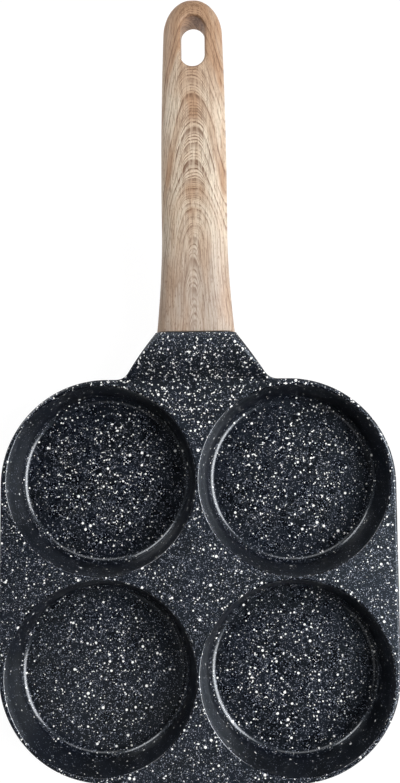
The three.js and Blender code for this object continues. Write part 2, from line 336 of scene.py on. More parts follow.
def along_neck(y):
    """0 at the neck's root on the deck's edge, 1 at the handle."""
    return np.clip((y - DECK_HALF) / NECK_LENGTH, 0, 1)


def top_height(y):
    """Height of the deck and neck: level, then a parabola that starts steep and ends in a slight fall.

    Where the parabola leaves the deck, the greater of the two is rounded off in a crease.
    """
    fall = math.tan(NECK_END_FALL) * NECK_LENGTH / NECK_RISE
    t = (y - DECK_HALF) / NECK_LENGTH
    climb = NECK_RISE * ((2 + fall) * t - (1 + fall) * np.maximum(t, 0) ** 2)
    return DECK_TOP - smooth_min(0.0, -climb, NECK_CREASE)


def under_height(y):
    """Height of the deck's and neck's underside: level, then a smooth fall to the handle's underside."""
    return DECK_UNDER + (JOINT_UNDER - DECK_UNDER) * smooth_step(along_neck(y), 0, 1)


def neck_half_width(y):
    """Half the neck's width on its straight flare."""
    return NECK_END_WIDTH / 2 + (JOINT_Y - y) * math.tan(NECK_FLARE)


def low_height(x, y):
    """Height of the casting's underside: the cup's drafted wall, met smoothly by the deck's or neck's."""
    wall = (np.hypot(x - CUP_OFFSET, y - CUP_OFFSET) - CUP_BASE_EDGE) / math.tan(CUP_DRAFT)
    return smooth_min(wall, under_height(y), UNDER_FILLET)


def cup_inside():
    """Radius and height from the cup floor's middle to the deck: floor, fillet, drafted wall, rim round."""
    foot_radius = CUP_FLOOR_RADIUS - CUP_FLOOR_FILLET * DRAFT_SET_IN
    foot_z = CUP_FLOOR_Z + CUP_FLOOR_FILLET
    foot = arc(foot_radius, foot_z, CUP_FLOOR_FILLET, -math.pi / 2, -CUP_DRAFT, FILLET_STEPS)
    rim_radius = CUP_MOUTH_RADIUS + CUP_RIM_ROUND * DRAFT_SET_IN
    rim_z = DECK_TOP - CUP_RIM_ROUND
    rim = arc(rim_radius, rim_z, CUP_RIM_ROUND, math.pi - CUP_DRAFT, math.pi / 2, RIM_STEPS)
    middle = np.array([0, CUP_FLOOR_Z])
    floor = np.linspace(middle, foot[0], FLOOR_STEPS, endpoint=False)
    wall = np.linspace(foot[-1], rim[0], WALL_STEPS + 1)[1:-1]
    return np.concatenate([floor, foot, wall, rim])


def cup_outside():
    """Radius and height from under the cup's middle to its wall: recess, base ring, base round, wall."""
    recess_radius = DISC_RADIUS + FIT_GAP
    recess_z = DISC_THICKNESS + STACK_GAP
    recess = np.linspace([0, recess_z], [recess_radius, recess_z], FLOOR_STEPS)
    lip = arc(recess_radius + CUP_BASE_EDGE_ROUND, CUP_BASE_EDGE_ROUND, CUP_BASE_EDGE_ROUND,
              math.pi, 1.5 * math.pi, LOWER_STEPS)
    foot_radius = CUP_BASE_EDGE - CUP_BASE_ROUND * DRAFT_SET_IN
    foot = arc(foot_radius, CUP_BASE_ROUND, CUP_BASE_ROUND, -math.pi / 2, -CUP_DRAFT, FILLET_STEPS)
    wall_top_radius = CUP_OFFSET - WALL_CLEAR
    wall_top = np.array([wall_top_radius, (wall_top_radius - CUP_BASE_EDGE) / math.tan(CUP_DRAFT)])
    wall = np.linspace(foot[-1], wall_top, WALL_STEPS + 1)[1:]
    return np.concatenate([recess, lip, foot, wall])


class Outline:
    """The edge of a quarter of the casting, anticlockwise: places, directions inwards and rounds.

    Columns of the deck's edge come first, then those of the neck's end or none, then the two seams at which
    the quarter meets its neighbours. The direction inwards is scaled so that a round moves the edge in by
    its radius.
    """

    def __init__(self, with_neck):
        straight = DECK_HALF - DECK_CORNER_RADIUS
        side = np.linspace([DECK_HALF, 0], [DECK_HALF, straight], STRAIGHT_SAMPLES, endpoint=False)
        corner = arc(straight, straight, DECK_CORNER_RADIUS, 0, math.pi / 2, CORNER_SAMPLES)
        corner_out = (corner - straight) / DECK_CORNER_RADIUS
        places = [side, corner]
        outwards = [np.tile([1.0, 0.0], (len(side), 1)), corner_out]
        if with_neck:
            more_places, more_outwards = self.neck_side(straight)
        else:
            rear = np.linspace([straight, DECK_HALF], [0, DECK_HALF], STRAIGHT_SAMPLES + 1)[1:]
            more_places, more_outwards = [rear], [np.tile([0.0, 1.0], (len(rear), 1))]
        self.edge = np.concatenate(places + more_places)
        self.inwards = -np.concatenate(outwards + more_outwards)
        share = along_neck(self.edge[:, 1])
        self.top_round = DECK_EDGE_ROUND + (NECK_END_ROUND - DECK_EDGE_ROUND) * share
        self.low_round = DECK_LOWER_ROUND + (NECK_END_LOWER_ROUND - DECK_LOWER_ROUND) * share
        self.top = np.concatenate([self.moved_in(self.top_round), self.ends(self.top_round, with_neck)])
        self.low = np.concatenate([self.moved_in(self.low_round), self.ends(self.low_round, with_neck)])

    def neck_side(self, straight):
        """The rear edge, the fillet into the flare and the flare, whose last directions lie along X."""
        edge_half = neck_half_width(DECK_HALF)
        fillet_x = edge_half + NECK_FILLET * math.tan((math.pi / 2 - NECK_FLARE) / 2)
        fillet_y = DECK_HALF + NECK_FILLET
        rear = np.linspace([straight, DECK_HALF], [fillet_x, DECK_HALF], REAR_EDGE_SAMPLES)[1:-1]
        fillet = arc(fillet_x, fillet_y, NECK_FILLET, -math.pi / 2, NECK_FLARE - math.pi, FILLET_SAMPLES)
        fillet_out = (np.array([fillet_x, fillet_y]) - fillet) / NECK_FILLET
        end_y = JOINT_Y - NECK_END_EDGE
        end = np.array([neck_half_width(end_y), end_y])
        flare = np.linspace(fillet[-1], end, FLARE_SAMPLES + 1)[1:]
        normal = np.array([math.cos(NECK_FLARE), math.sin(NECK_FLARE)])
        turn = smooth_step(np.linspace(0, 1, FLARE_SAMPLES), NECK_TURN_START, 1)[:, None]
        flare_out = normal * (1 - turn) + np.array([1.0, 0.0]) * turn
        flare_out = flare_out / (flare_out @ normal)[:, None]
        rear_out = np.tile([0.0, 1.0], (len(rear), 1))
        return [rear, fillet, flare], [rear_out, fillet_out, flare_out]

    def moved_in(self, rounds):
        """The edge moved inwards by its round."""
        return self.edge + self.inwards * rounds[:, None]

    def ends(self, rounds, with_neck):
        """The columns after the edge: the neck's end, then the seam on X = 0 and the seam on Y = 0."""
        last = self.moved_in(rounds)[-1]
        corner = np.array([0.0, last[1]])
        end = np.linspace(last, corner, END_SAMPLES + 1)[1:] if with_neck else np.empty((0, 2))
        seam_start = corner * np.linspace(1, 0, SEAM_SAMPLES + 1)[1:, None]
        across = np.array([self.moved_in(rounds)[0][0], 0.0])
        seam_end = across * np.linspace(0, 1, SEAM_SAMPLES + 1)[1:-1, None]
        return np.concatenate([end, seam_start, seam_end])


def rings(profile, boundary):
    """Circles of a profile about the cup's middle, in the directions of the boundary's columns."""
    away = boundary - CUP_OFFSET
    direction = away / np.linalg.norm(away, axis=1)[:, None]
    across = CUP_OFFSET + profile[:, None, :1] * direction[None]
    height = np.broadcast_to(profile[:, None, 1:], across.shape[:2] + (1,))
    return np.concatenate([across, height], axis=2)


def top_surface(outline, deck_steps):
    """The cup's inside, then straight lines from its rim to the outline at the deck's and neck's height."""
    cup = rings(cup_inside(), outline.top)
    share = np.linspace(0, 1, deck_steps + 1)[1:, None, None]
    across = cup[-1, :, :2] * (1 - share) + outline.top * share
    height = top_height(across[:, :, 1:])
    deck = np.concatenate([across, height], axis=2)
    return patch(np.concatenate([cup, deck]), closed=True)


def low_surface(outline, wall_steps, deck_steps):
    """The cup's outside, rings up along its wall, then straight lines to the outline under the deck."""
    cup = rings(cup_outside(), outline.low)
    away = outline.low - CUP_OFFSET
    reach = np.linalg.norm(away, axis=1)
    start = np.linalg.norm(cup[-1, :, :2] - CUP_OFFSET, axis=1)
    wall_end = np.minimum(start + WALL_RINGS_OUT, reach)
    share = np.linspace(0, 1, wall_steps + 1)[1:, None]
    wall_radius = start + (wall_end - start) * share
    deck_share = np.linspace(0, 1, deck_steps + 1)[1:, None]
    deck_radius = wall_end + (reach - wall_end) * deck_share
    radius = np.concatenate([wall_radius, deck_radius])
    across = CUP_OFFSET + radius[:, :, None] * (away / reach[:, None])
    height = low_height(across[:, :, :1], across[:, :, 1:])
    under = np.concatenate([across, height], axis=2)
    return patch(np.concatenate([cup, under])[::-1], closed=True)


def edge_strip(outline):
    """The outline's edge from the deck down: a quarter round, an upright side and a smaller round below.

    A quarter round at angle a lies its radius times one less the sine of a inwards, and its radius times
    one less the cosine of a below the deck. The lower round meets the underside in the same way.
    """
    count = len(outline.edge)
    angle = quarter_turn(EDGE_STEPS)[:, None, None]
    inset = (outline.inwards * outline.top_round[:, None])[None]
    upper = outline.edge + inset * (1 - np.sin(angle))
    upper_z = top_height(upper[:, :, 1:]) - outline.top_round[None, :, None] * (1 - np.cos(angle))
    angle = quarter_turn(LOWER_STEPS)[:, None, None]
    inset = (outline.inwards * outline.low_round[:, None])[None]
    lower = outline.edge + inset * (1 - np.cos(angle))
    low_point = outline.low[:count]
    foot_z = low_height(low_point[:, :1], low_point[:, 1:])
    side_z = under_height(outline.edge[:, 1:]) + outline.low_round[:, None]
    lower_z = foot_z + (side_z - foot_z) * (1 - np.sin(angle))
    upper = np.concatenate([upper, upper_z], axis=2)
    lower = np.concatenate([lower, lower_z], axis=2)
    return np.concatenate([upper, lower])


def tang_frame(across, along, up):
    """Points of the tang's own frame, whose root lies at the neck's end and which rises with the handle."""
    root_z = JOINT_CENTRE_Z + TANG_ABOVE_CENTRE
    slope = math.atan2(handle_centre(TANG_LENGTH) - JOINT_CENTRE_Z, TANG_LENGTH)
    y = JOINT_Y + along * math.cos(slope) - up * math.sin(slope)
    z = root_z + along * math.sin(slope) + up * math.cos(slope)
    return points_of(across, y, z)


def neck_end(outline, strip):
    """The neck's end and the tang: half the end's outline, drawn in round its edge, then the tang.

    The tang's section at an angle is the radius of a superellipse: one over the power root of the sum of
    the powers of the cosine over the half width and the sine over the half thickness.
    """
    edge_count = len(outline.edge)
    top = outline.top[edge_count - 1:edge_count + END_SAMPLES]
    low = outline.low[edge_count - 1:edge_count + END_SAMPLES]
    top = np.concatenate([top, top_height(top[:, 1:])], axis=1)[::-1]
    low = np.concatenate([low, low_height(low[:, :1], low[:, 1:])], axis=1)
    loop = np.concatenate([top[:-1], strip[:, -1], low[1:]])
    middle = np.array([0, 0, JOINT_CENTRE_Z + TANG_ABOVE_CENTRE])
    away = (loop - middle) * np.array([1, 0, 1])
    reach = np.linalg.norm(away, axis=1)[:, None]
    direction = away / reach
    turn = quarter_turn(EDGE_STEPS)[:, None, None]
    edge = loop - direction * NECK_END_EDGE * (1 - np.cos(turn))
    edge = edge + np.array([0, 1, 0]) * NECK_END_EDGE * np.sin(turn)
    powers = (np.abs(direction[:, 0]) / TANG_HALF_WIDTH) ** TANG_SECTION_CURVE
    powers = powers + (np.abs(direction[:, 2]) / TANG_HALF_THICKNESS) ** TANG_SECTION_CURVE
    section = direction * powers[:, None] ** (-1 / TANG_SECTION_CURVE)
    along = np.array([0, TANG_LENGTH, TANG_LENGTH])[:, None]
    size = np.array([1, 1, 0])[:, None]
    tang = tang_frame(section[:, 0] * size, along, section[:, 2] * size)
    return patch(np.concatenate([edge, tang]))


def neck_hollow():
    """The space cored from below the neck, closed: rings along the flare, each round a level roof.

    A roof corner's point at an angle lies its radius times the cosine out and times the sine up.
    """
    y = np.linspace(DECK_HALF + NECK_CORE_START, JOINT_Y - NECK_CORE_END, CORE_STEPS + 1)[:, None]
    turn = quarter_turn(CORE_STEPS)
    angle = np.concatenate([[0], turn, turn + math.pi / 2, [math.pi]])
    side = np.where(np.arange(len(angle)) < len(angle) / 2, 1, -1)
    x = side * (neck_half_width(y) - NECK_CORE_SIDE - NECK_CORE_ROUND) + NECK_CORE_ROUND * np.cos(angle)
    z = top_height(y) - NECK_WALL - NECK_CORE_ROUND * (1 - np.sin(angle))
    z[:, [0, -1]] = JOINT_UNDER - NECK_WALL
    rings_along = points_of(x, y, z)
    ends = np.broadcast_to(rings_along[[0, -1]].mean(axis=1, keepdims=True), (2, len(angle), 3))
    return patch(np.concatenate([ends[:1], rings_along, ends[1:]]), closed=True)


def make_casting():
    """The deck, four cups, neck and tang: two quarters on the right, and both again mirrored on the left.

    The space under the neck and the screw's hole in the tang are then cut out.
    """
    rear = Outline(with_neck=True)
    front = Outline(with_neck=False)
    rear_strip = edge_strip(rear)
    right = joined([
        top_surface(rear, REAR_DECK_STEPS),
        low_surface(rear, OUTER_WALL_STEPS, REAR_LOW_STEPS),
        patch(rear_strip[::-1]),
        neck_end(rear, rear_strip),
        mirrored(top_surface(front, FRONT_DECK_STEPS), 1),
        mirrored(low_surface(front, OUTER_WALL_STEPS, FRONT_LOW_STEPS), 1),
        mirrored(patch(edge_strip(front)[::-1]), 1),
    ])
    piece = make_piece("cast_pan", joined([right, mirrored(right, 0)]))
    cut(piece, neck_hollow())
    through = TANG_HALF_THICKNESS + STACK_GAP
    cut(piece, upright_cutter(SCREW_RADIUS + STACK_GAP, -through, through))
    stand_for(piece, "speckled_coating", "pan_body")
    return piece


# The handle

def handle_centre(u):
    """Height of the handle's middle at a distance u from the neck: a slope easing to level at the tip."""
    return JOINT_CENTRE_Z + HANDLE_RISE * u * (1 - u / (2 * HANDLE_LENGTH))


def tip_round(u, power):
    """1 along the handle, falling to 0 at the tip along a superellipse."""
    return superellipse(np.clip((u - TIP_START) / HANDLE_TIP_LENGTH, 0, 1), power)


def handle_half_width(u):
    """Half the handle's width: the palm, wider by a flare at the front, narrower by a taper to the tail."""
    flare = np.clip(1 - u / HANDLE_FLARE_LENGTH, 0, 1) ** HANDLE_FLARE_CURVE
    taper = np.clip((u - HANDLE_PALM_PLACE) / (TIP_START - HANDLE_PALM_PLACE), 0, 1) ** 2
    width = HANDLE_PALM_WIDTH + (HANDLE_FRONT_WIDTH - HANDLE_PALM_WIDTH) * flare
    width = width - (HANDLE_PALM_WIDTH - HANDLE_TAIL_WIDTH) * taper
    return width / 2 * tip_round(u, HANDLE_TIP_PLAN_CURVE)


def handle_half_thickness(u):
    """Half the handle's thickness, which tapers with the square of the way to the tip's start."""
    taper = np.clip(u / TIP_START, 0, 1) ** 2
    thickness = HANDLE_FRONT_THICKNESS - (HANDLE_FRONT_THICKNESS - HANDLE_TAIL_THICKNESS) * taper
    return thickness / 2 * tip_round(u, HANDLE_TIP_SIDE_CURVE)


def handle_swell(x, u):
    """How far the surface stands from the handle's middle height: a superellipse across the width."""
    share = np.clip(np.abs(x) / np.maximum(handle_half_width(u), LEAST_WIDTH), 0, 1)
    return handle_half_thickness(u) * superellipse(share, HANDLE_SECTION_CURVE)


def handle_front():
    """The handle from the neck to the tail: rings of the section, the first drawn in round the edge."""
    turn = full_turn(2 * SECTION_STEPS)
    edge_turn = quarter_turn(EDGE_STEPS)[:-1]
    edge_u = FIT_GAP + HANDLE_FRONT_EDGE * (1 - np.cos(edge_turn))
    edge_in = HANDLE_FRONT_EDGE * (1 - np.sin(edge_turn))
    body_u = np.linspace(FIT_GAP + HANDLE_FRONT_EDGE, HANDLE_TAIL_CUT, LENGTH_STEPS + 1)
    u = np.concatenate([edge_u[:1], edge_u, body_u])[:, None]
    drawn_in = np.concatenate([edge_in[:1], edge_in, np.zeros(len(body_u))])[:, None]
    x = handle_half_width(u) * np.cos(turn)
    up = handle_swell(x, u) * np.where(turn < math.pi, 1, -1)
    x = x * (1 - drawn_in / handle_half_width(u))
    up = up * (1 - drawn_in / handle_half_thickness(u))
    closed_end = np.ones_like(u)
    closed_end[0] = 0
    z = handle_centre(u) + up * closed_end
    return patch(points_of(x * closed_end, JOINT_Y + u, z), closed=True)


def tail_outline():
    """The tail's outline in plan, anticlockwise from the right end of its cut: sides, tip and cut."""
    angle = np.linspace(0, math.pi, 2 * TAIL_SIDE_STEPS + 1)
    u = HANDLE_TAIL_CUT + (HANDLE_LENGTH - HANDLE_TAIL_CUT) * np.sin(angle)
    x = handle_half_width(u) * np.sign(np.cos(angle))
    x[TAIL_SIDE_STEPS] = 0
    cut_turn = np.linspace(math.pi, 0, SECTION_STEPS + 1)[1:-1]
    cut_x = handle_half_width(HANDLE_TAIL_CUT) * np.cos(cut_turn)
    cut_line = np.stack([cut_x, np.full(len(cut_x), HANDLE_TAIL_CUT)], axis=1)
    return np.concatenate([np.stack([x, u], axis=1), cut_line])


def handle_tail():
    """The tail round the hanging slot: lines from its edge to the outline, above and below, and its wall.

    The slot is all points within half its width of a middle line. At its lip the surface falls away along a
    quarter round: the lip times one less the cosine outwards and one less the sine down.
    """
    outer = tail_outline()
    slot_u = HANDLE_LENGTH - SLOT_FROM_TIP
    half_line = (SLOT_LENGTH - SLOT_WIDTH) / 2
    nearest_u = np.clip(outer[:, 1], slot_u - half_line, slot_u + half_line)
    nearest = np.stack([np.zeros(len(outer)), nearest_u], axis=1)
    away = outer - nearest
    reach = np.linalg.norm(away, axis=1)
    direction = away / reach[:, None]
    lip_turn = quarter_turn(LIP_STEPS)[:, None]
    lip_out = SLOT_WIDTH / 2 + SLOT_LIP * (1 - np.cos(lip_turn)) * np.ones(len(outer))
    share = np.sin(quarter_turn(TAIL_STEPS))[1:, None]
    rest_out = lip_out[-1] + (reach - lip_out[-1]) * share
    distance = np.concatenate([lip_out, rest_out])
    drop = np.concatenate([SLOT_LIP * (1 - np.sin(lip_turn)), np.zeros((TAIL_STEPS, 1))])
    plan = nearest + direction * distance[:, :, None]
    x = plan[:, :, 0]
    u = plan[:, :, 1]
    up = handle_swell(x, u) - drop
    up[-1, :2 * TAIL_SIDE_STEPS + 1] = 0
    upper = points_of(x, JOINT_Y + u, handle_centre(u) + up)
    lower = points_of(x, JOINT_Y + u, handle_centre(u) - up)
    share = np.linspace(0, 1, SLOT_WALL_STEPS + 1)[:, None, None]
    wall = lower[0] + (upper[0] - lower[0]) * share
    parts = [patch(upper, closed=True), patch(lower[::-1], closed=True), patch(wall, closed=True)]
    return joined(parts)


def upright_cutter(radius, low, high):
    """A closed cylinder along the screw's axis in the tang's frame, from rings of four radii."""
    turn = full_turn(ROUND_STEPS)
    radii = np.array([0, radius, radius, 0])[:, None]
    heights = np.array([low, low, high, high])[:, None]
    across = radii * np.cos(turn)
    along = SCREW_PLACE + radii * np.sin(turn)
    return patch(tang_frame(across, along, heights), closed=True)


def socket_cutter():
    """A closed block round the tang with its clearance, from rings of its four corners."""
    across = np.array([1, 1, -1, -1]) * (TANG_HALF_WIDTH + FIT_GAP)
    up = np.array([-1, 1, 1, -1]) * (TANG_HALF_THICKNESS + FIT_GAP)
    size = np.array([0, 1, 1, 0])[:, None]
    start = -HANDLE_FRONT_THICKNESS / 2
    along = np.array([start, start, TANG_LENGTH + FIT_GAP, TANG_LENGTH + FIT_GAP])[:, None]
    return patch(tang_frame(across * size, along, up * size), closed=True)


def cut(piece, part):
    """Cuts a closed patch out of a piece, and marks its sharp edges again."""
    cutter = make_piece("cutter", part)
    boolean = piece.modifiers.new("cut", "BOOLEAN")
    boolean.operation = "DIFFERENCE"
    boolean.solver = "EXACT"
    boolean.object = cutter
    bpy.context.view_layer.update()
    shown = piece.evaluated_get(bpy.context.evaluated_depsgraph_get())
    done = bpy.data.meshes.new_from_object(shown)
    done.set_sharp_from_angle(angle=SHARP_ANGLE)
    piece.modifiers.clear()
    piece.data = done
    bpy.data.objects.remove(cutter)


def make_handle():
    """The moulded handle with its hanging slot, its socket for the tang and its screw recess from below."""
    piece = make_piece("wood_effect_handle", joined([handle_front(), handle_tail()]))
    cut(piece, socket_cutter())
    cut(piece, upright_cutter(SCREW_RADIUS + FIT_GAP, SEAT_Z - FIT_GAP, 0))
    cut(piece, upright_cutter(WASHER_RADIUS + FIT_GAP, SEAT_Z - HANDLE_FRONT_THICKNESS, SEAT_Z))
    stand_for(piece, "wood_effect", "handle")
    return piece


# Discs, screw and washers

def lathe(profile):
    """A closed patch turned about the Z axis from radii and heights, whose first and last radius are 0."""
    turn = full_turn(ROUND_STEPS)
    radius = profile[:, :1]
    return patch(points_of(radius * np.cos(turn), radius * np.sin(turn), profile[:, 1:]), closed=True)


def disc_profile():
    """From the middle of the disc's face outwards and back over its top.

    A groove's depth is half of one less the cosine, which goes through one turn in each pitch.
    """
    face_radius = DISC_RADIUS - DISC_EDGE_ROUND
    count = int(face_radius / DISC_GROOVE_PITCH * GROOVE_STEPS)
    radius = np.linspace(0, face_radius, count + 1)
    wave = (1 - np.cos(2 * math.pi * radius / DISC_GROOVE_PITCH)) / 2
    plain_end = DISC_RADIUS - DISC_PLAIN_EDGE
    grooved = smooth_step(radius, DISC_PLAIN_RADIUS, DISC_PLAIN_RADIUS + DISC_GROOVE_PITCH)
    grooved = grooved * (1 - smooth_step(radius, plain_end - DISC_GROOVE_PITCH, plain_end))
    face = np.stack([radius, DISC_GROOVE_DEPTH * wave * grooved], axis=1)
    edge = arc(face_radius, DISC_EDGE_ROUND, DISC_EDGE_ROUND, -math.pi / 2, 0, LOWER_STEPS)
    back = np.array([[DISC_RADIUS, DISC_THICKNESS], [0, DISC_THICKNESS]])
    return np.concatenate([face, edge[1:], back])


def make_disc(name):
    """The steel disc in a cup's base, with fine rings turned into its face."""
    points, faces = lathe(disc_profile())
    middle = disc_middles[name] - DECK_MIDDLE
    piece = make_piece("steel_disc_" + name, (points + middle * np.array([1, 1, 0]), faces))
    stand_for(piece, "disc_steel", "induction_disc_" + name)
    return piece


def on_screw(part):
    """A patch about the Z axis set on the screw's axis in the tang's frame."""
    points, faces = part
    return tang_frame(points[:, 0], points[:, 1] + SCREW_PLACE, points[:, 2]), faces


def drive_cutter(turn):
    """A bar of the screw's cross recess, drawn in towards its bottom, as rings of four corners."""
    low = HEAD_TOP - SCREW_HEAD_HEIGHT
    size = np.array([0, 1, DRIVE_TAPER, 0])[:, None]
    across = np.array([1, 1, -1, -1]) * DRIVE_LENGTH / 2 * size
    along = np.array([-1, 1, 1, -1]) * DRIVE_WIDTH / 2 * size
    heights = low + DRIVE_DEPTH * np.array([-1, -1, 1, 1])[:, None]
    x = across * math.cos(turn) - along * math.sin(turn)
    y = across * math.sin(turn) + along * math.cos(turn)
    return on_screw(patch(points_of(x, y, heights), closed=True))


def make_screw():
    """The screw from below: a domed head with a cross recess, and a plain shank up into the tang."""
    low = HEAD_TOP - SCREW_HEAD_HEIGHT
    tip = TANG_HALF_THICKNESS - SCREW_TIP_SHORT
    turn = quarter_turn(FILLET_STEPS)
    dome_height = SCREW_HEAD_HEIGHT - SCREW_HEAD_EDGE
    dome = np.stack([SCREW_HEAD_RADIUS * np.sin(turn), low + dome_height * (1 - np.cos(turn))], axis=1)
    rest = np.array([
        [SCREW_HEAD_RADIUS, HEAD_TOP],
        [SCREW_RADIUS, HEAD_TOP],
        [SCREW_RADIUS, tip - SCREW_TIP_CHAMFER],
        [SCREW_RADIUS - SCREW_TIP_CHAMFER, tip],
        [0, tip],
    ])
    piece = make_piece("cross_head_screw", on_screw(lathe(np.concatenate([dome, rest]))))
    cut(piece, drive_cutter(0))
    cut(piece, drive_cutter(math.pi / 2))
    stand_for(piece, "screw_steel", "handle_screw")
    return piece


# Nodes of the materials

MIX_COLOUR_A = 6
MIX_COLOUR_B = 7
MIX_COLOUR_RESULT = 2
HEX_PLACES = (1, 3, 5)
HEX_FULL = 255
LINEAR_END = 0.04045
LINEAR_SLOPE = 12.92
CURVE_OFFSET = 0.055
CURVE_POWER = 2.4
NOISE_DETAIL = 2.0
NOISE_ROUGHNESS = 0.5
NOISE_MIDDLE = (0.5, 0.5, 0.5)
COARSE_DETAIL = 1.0
GROUND_DETAIL = 3.0
WHITE = (1.0, 1.0, 1.0, 1.0)


class Looks:
    """The node tree of a material or a world, emptied to be filled anew."""

    def __init__(self, holder):
        self.holder = holder
        holder.use_nodes = True
        self.tree = holder.node_tree
        self.tree.nodes.clear()

    def add(self, kind, inputs=None, **settings):
        """The outputs of a new node of a kind, its inputs set to values or linked to other outputs."""
        node = self.tree.nodes.new("ShaderNode" + kind)
        for name, value in settings.items():
            setattr(node, name, value)
        for key, value in (inputs or {}).items():
            if isinstance(value, Value):
                self.tree.links.new(value.socket, node.inputs[key])
            else:
                node.inputs[key].default_value = value
        return Outputs(self, node)

    def stored(self, name, output="Fac"):
        """What a piece keeps for each of its points under a name."""
        return self.add("Attribute", attribute_name=name)[output]

    def surface(self, **inputs):
        """The material with its surface shader; an underscore in an input's name stands for a space."""
        named = {name.replace("_", " "): value for name, value in inputs.items()}
        self.add("OutputMaterial", {"Surface": self.add("BsdfPrincipled", named)["BSDF"]})
        return self.holder


class Outputs:
    """The outputs of a node, each taken as a value by its name or number."""

    def __init__(self, looks, node):
        self.looks = looks
        self.node = node

    def __getitem__(self, output):
        return Value(self.looks, self.node.outputs[output])


class Value:
    """An output of a node: a number, a colour or coordinates, from which further nodes reckon.

    The signs for a sum, a difference, a product and a power make Math nodes.
    """

    def __init__(self, looks, socket):
        self.looks = looks
        self.socket = socket

    def math(self, operation, other=0.0):
        """The output of a Math node."""
        return self.looks.add("Math", {0: self, 1: other}, operation=operation)[0]

    def __add__(self, other):
        return self.math("ADD", other)

    def __sub__(self, other):
        return self.math("SUBTRACT", other)

    def __mul__(self, other):
        return self.math("MULTIPLY", other)

    def __pow__(self, other):
        return self.math("POWER", other)

    def spread(self, low, high, start=0.0, end=1.0, way="LINEAR"):
        """The number carried from the range low to high to the range start to end, held at its ends."""
        inputs = {"Value": self, "From Min": low, "From Max": high, "To Min": start, "To Max": end}
        return self.looks.add("MapRange", inputs, interpolation_type=way)["Result"]

    def fade(self, low, high, start=0.0, end=1.0):
        """The number carried as spread carries it, easing in and out."""
        return self.spread(low, high, start, end, "SMOOTHSTEP")

    def blend(self, a, b):
        """A colour between two, by this share."""
        inputs = {0: self, MIX_COLOUR_A: a, MIX_COLOUR_B: b}
        return self.looks.add("Mix", inputs, data_type="RGBA")[MIX_COLOUR_RESULT]

    def own_value(self):
        """A number from 0 to 1 that belongs to the whole part of this one."""
        whole = self.math("FLOOR")
        return self.looks.add("TexWhiteNoise", {"W": whole}, noise_dimensions="1D")["Value"]

    def relief(self, strength, depth):
        """The direction of a surface with this height as a relief, whose depth is in millimetres."""
        inputs = {"Height": self, "Strength": strength, "Distance": depth * MM}
        return self.looks.add("Bump", inputs)["Normal"]

    def parts(self):
        """The three parts of coordinates."""
        parts = self.looks.add("SeparateXYZ", {"Vector": self})
        return [parts[axis] for axis in "XYZ"]

    def vector_math(self, operation, other):
        """Coordinates added to, taken from or times others."""
        return self.looks.add("VectorMath", {0: self, 1: other}, operation=operation)[0]

    def drawn(self, share):
        """Coordinates whose steps along Y count only for a share, so that a noise is drawn out along it."""
        return self.vector_math("MULTIPLY", (1.0, share, 1.0))

    def noise(self, scale, detail=NOISE_DETAIL, roughness=NOISE_ROUGHNESS, output="Fac"):
        """A noise at coordinates, from 0 to 1 about its middle."""
        inputs = {"Vector": self, "Scale": scale, "Detail": detail, "Roughness": roughness}
        return self.looks.add("TexNoise", inputs)[output]

    def shaken(self, scale, amount):
        """Coordinates moved about by a noise of a scale, each way by up to half an amount."""
        moved = self.noise(scale, COARSE_DETAIL, output="Color").vector_math("SUBTRACT", NOISE_MIDDLE)
        return self.vector_math("ADD", moved.vector_math("MULTIPLY", (amount, amount, amount)))


def colour(text):
    """A hex colour as linear light with alpha: a straight part, then a power curve."""
    channels = np.array([int(text[i:i + 2], 16) / HEX_FULL for i in HEX_PLACES])
    curve = ((channels + CURVE_OFFSET) / (1 + CURVE_OFFSET)) ** CURVE_POWER
    return [*np.where(channels <= LINEAR_END, channels / LINEAR_SLOPE, curve), 1.0]


def dress(piece, material):
    """The piece wears one material."""
    piece.data.materials.clear()
    piece.data.materials.append(material)


def read_points(piece, measure):
    """A measure with three parts, such as the place, of all of a piece's points."""
    values = np.empty(len(piece.data.vertices) * 3, np.float32)
    piece.data.vertices.foreach_get(measure, values)
    return values.reshape(-1, 3)


def keep_values(piece, name, values, kind="FLOAT", field="value"):
    """Keeps a value for each of a piece's points under a name."""
    kept = piece.data.attributes.new(name, kind, "POINT")
    kept.data.foreach_set(field, values.astype(np.float32).ravel())


# The speckled coating, sizes in millimetres, ranges as low, high, value at low and value at high

COAT_DEEP = "#05070c"
COAT_PALE = "#0b0f18"
COAT_TINT = (0.7, 0.85, 1.0, 1.0)
COAT_IOR = 1.395
MOTTLE_SIZE = 14.0
MOTTLES = (0.35, 0.65)
CLOUD_SIZE = 5.0
CLOUD_ROUGHNESS = (0.3, 0.7, 0.39, 0.46)
SMOOTHER_IN_CUPS = 0.14
SMOOTHER_ON_RIMS = 0.22
ROUGHER_ON_WALLS = 0.1
GLAZE_WEIGHTS = (0.0, 1.0, 0.25, 1.0)
GLAZE_ROUGHNESS = 0.14
PEEL_SIZE = 0.8
PEEL_DEPTH = 0.02
PEEL_STRENGTH = 0.3

SPECK_WHITE = "#f6f6f4"
SPECK_GREY = "#767d8a"
SPECK_SOFT = 0.2
SPECK_LEAST = 0.5
SPECK_MOST = 1.8
SPECK_SKEW = 1.8
MIST_DEEP = "#4c5464"
MIST_PALE = "#a2a7b4"
MIST_SPACING = 0.58
MIST_RADIUS = 0.165
DOT_SPACING = 1.7
DOT_RADIUS = 0.265
DOT_GREYS = (0.0, 0.3)
CHIP_SPACING = 3.5
CHIP_RADIUS = 0.45
FLECK_SIZE = 1.6
FLECK_SOFT = 0.03
FLECK_HIDDEN = 0.3
RAGGED_SIZE = 0.8
RAGGED_MOVE = 0.22
NECK_SPECKS_START = 35.0

# Values on the deck, at the neck's root and at its end
FLECK_LIMITS = (0.71, 0.645, 0.67)
# The mist's rise from the neck's root back to full at its end is a painted sheen on the neck's end.
MIST_AND_SHEEN_SHARES = (1.0, 0.6, 1.0)

